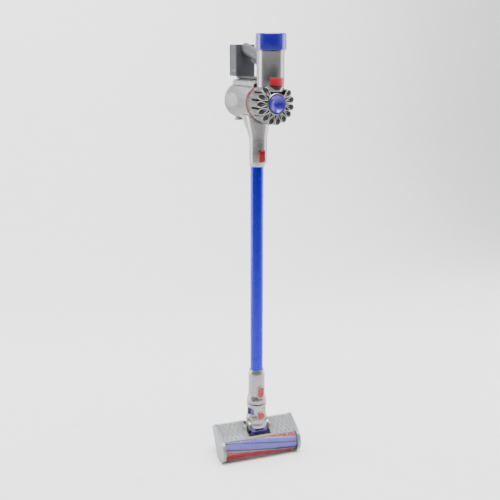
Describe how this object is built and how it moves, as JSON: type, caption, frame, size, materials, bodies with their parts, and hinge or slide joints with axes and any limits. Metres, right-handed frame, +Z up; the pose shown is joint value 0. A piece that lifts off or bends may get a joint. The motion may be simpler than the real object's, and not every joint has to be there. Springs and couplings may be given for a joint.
{
  "type": "cordless stick vacuum",
  "caption": "Cordless stick vacuum: handheld unit with cyclones, clear bin, motor, grip and battery, a straight wand, and a swivelling, tilting soft roller floor head.",
  "frame": {"origin": "middle of the battery's flat back face, where the wall dock holds it", "axes": "+Z up along the wand, +Y out of the battery's back face towards the wall, -Y the front with the filter cap"},
  "size_m": [0.2604, 0.2259, 1.2413],
  "materials": {
    "nickel": "metallic nickel paint, satin gloss",
    "grey": "moulded, satin",
    "charcoal": "moulded, fine texture",
    "blue_tube": "anodised blue",
    "violet": "metallic moulded",
    "red": "moulded gloss",
    "clear": "clear polycarbonate",
    "rubber": "matt",
    "steel": "bright",
    "motor_metal": "die cast",
    "board": "solder resist",
    "felt": "filter felt",
    "pile": "woven nylon pile in coloured bands"
  },
  "bodies": {
    "handheld": {"motor_housing": "nickel", "handle_left": "charcoal", "handle_right": "charcoal", "battery_case": "charcoal", "battery_cover": "charcoal", "cell_pack": "motor_metal", "battery_board": "board", "charge_port": "rubber", "status_lens": "clear", "cyclone_body": "nickel", "cyclone_cover": "nickel", "vortex_shroud": "steel", "bin_seal": "red", "inlet_funnel": "grey", "bin_saddle": "grey", "bin_rail": "charcoal", "motor_case": "charcoal", "motor_stator": "motor_metal", "motor_diffuser": "grey", "motor_board": "board", "motor_bearing": "steel", "trigger_switch": "rubber", "trigger_spring": "steel"},
    "rotor": {"rotor_shaft": "steel", "rotor_magnet": "steel", "impeller": "charcoal"},
    "trigger": {"trigger": "charcoal"},
    "release_tab": {"release_tab": "red"},
    "boost_slider": {"boost_slider": "charcoal"},
    "bin": {"bin_barrel": "clear"},
    "flap_catch": {"flap_catch": "red"},
    "flap": {"bin_flap": "clear", "flap_seal": "rubber"},
    "pre_filter": {"pre_filter_cap": "violet", "pre_filter_sock": "felt"},
    "post_filter": {"post_filter_cap": "violet", "post_filter_media": "felt"},
    "wand": {"wand_tube": "blue_tube", "wand_top_collar": "grey", "wand_bottom_collar": "grey", "wand_cable": "rubber"},
    "wand_button": {"wand_button": "red"},
    "head_button": {"head_button": "red"},
    "neck": {"neck_shell": "grey"},
    "neck_button": {"neck_button": "red"},
    "swivel": {"elbow_shell": "grey", "swivel_tube": "violet"},
    "head": {"head_cover": "clear", "roller_window": "clear", "head_chassis": "grey", "sole_plate": "grey", "end_cap_left": "grey", "end_cap_right": "grey", "duct_barrel": "violet", "roller_motor": "motor_metal"},
    "roller": {"roller_core": "charcoal", "roller_pile": "pile"},
    "wheel_left": {"wheel_left": "rubber"},
    "wheel_right": {"wheel_right": "rubber"},
    "cap_lock": {"cap_lock": "grey"}
  },
  "joints": [
    {"name": "rotor_spin", "type": "hinge", "parent": "handheld", "child": "rotor", "pos_m": [0, -0.1845, -0.0502], "axis": [0, 0, 1], "continuous": true},
    {"name": "trigger_pull", "type": "hinge", "parent": "handheld", "child": "trigger", "pos_m": [0, -0.1165, 0.00157], "axis": [1, 0, 0], "range_deg": [0, 8], "stiffness_Nm_per_rad": 0.3, "springref_deg": -6.88, "deforming": ["trigger_spring"]},
    {"name": "release_tab_pull", "type": "slide", "parent": "handheld", "child": "release_tab", "axis": [0, -1, 0], "range_m": [0, 0.007], "stiffness_N_per_m": 300, "springref_m": -0.003},
    {"name": "boost_slide", "type": "slide", "parent": "handheld", "child": "boost_slider", "axis": [1, 0, 0], "range_m": [-0.004, 0.004]},
    {"name": "bin_slide", "type": "slide", "parent": "handheld", "child": "bin", "axis": [0, 1, 0], "range_m": [0, 0.09]},
    {"name": "flap_catch_press", "type": "slide", "parent": "bin", "child": "flap_catch", "axis": [0, -1, 0], "range_m": [0, 0.004], "stiffness_N_per_m": 400, "springref_m": -0.001},
    {"name": "flap_swing", "type": "hinge", "parent": "bin", "child": "flap", "pos_m": [0, -0.0062, -0.1641], "axis": [-1, 0, 0], "range_deg": [0, 100]},
    {"name": "pre_filter_pull", "type": "slide", "parent": "handheld", "child": "pre_filter", "axis": [0, -1, 0], "range_m": [0, 0.14]},
    {"name": "post_filter_lift", "type": "slide", "parent": "handheld", "child": "post_filter", "axis": [0, 0, 1], "range_m": [0, 0.06]},
    {"name": "wand_detach", "type": "slide", "parent": "handheld", "child": "wand", "axis": [0, 0, -1], "range_m": [0, 0.03]},
    {"name": "wand_button_press", "type": "slide", "parent": "wand", "child": "wand_button", "axis": [0, 1, 0], "range_m": [0, 0.0026], "stiffness_N_per_m": 600, "springref_m": -0.002},
    {"name": "head_button_press", "type": "slide", "parent": "wand", "child": "head_button", "axis": [0, 1, 0], "range_m": [0, 0.002], "stiffness_N_per_m": 600, "springref_m": -0.002},
    {"name": "head_detach", "type": "slide", "parent": "wand", "child": "neck", "axis": [0, 0, -1], "range_m": [0, 0.04]},
    {"name": "neck_button_press", "type": "slide", "parent": "neck", "child": "neck_button", "axis": [0, 1, 0], "range_m": [0, 0.002], "stiffness_N_per_m": 600, "springref_m": -0.002},
    {"name": "neck_swivel", "type": "hinge", "parent": "neck", "child": "swivel", "pos_m": [0, -0.1085, -1.0514], "axis": [0, 0, 1], "range_deg": [-82, 97]},
    {"name": "head_tilt", "type": "hinge", "parent": "swivel", "child": "head", "pos_m": [0, -0.1085, -1.0834], "axis": [0.991, -0.134, 0], "range_deg": [-35, 30]},
    {"name": "roller_spin", "type": "hinge", "parent": "head", "child": "roller", "pos_m": [-0.0027, -0.1285, -1.13265], "axis": [0.991, -0.134, 0], "continuous": true},
    {"name": "wheel_left_spin", "type": "hinge", "parent": "head", "child": "wheel_left", "pos_m": [-0.04959, -0.05733, -1.09174], "axis": [0.991, -0.134, 0], "continuous": true},
    {"name": "wheel_right_spin", "type": "hinge", "parent": "head", "child": "wheel_right", "pos_m": [0.0614, -0.07234, -1.09174], "axis": [0.991, -0.134, 0], "continuous": true},
    {"name": "cap_lock_turn", "type": "hinge", "parent": "head", "child": "cap_lock", "pos_m": [0.1182, -0.14485, -1.13265], "axis": [0.991, -0.134, 0], "range_deg": [0, 90]}
  ]
}
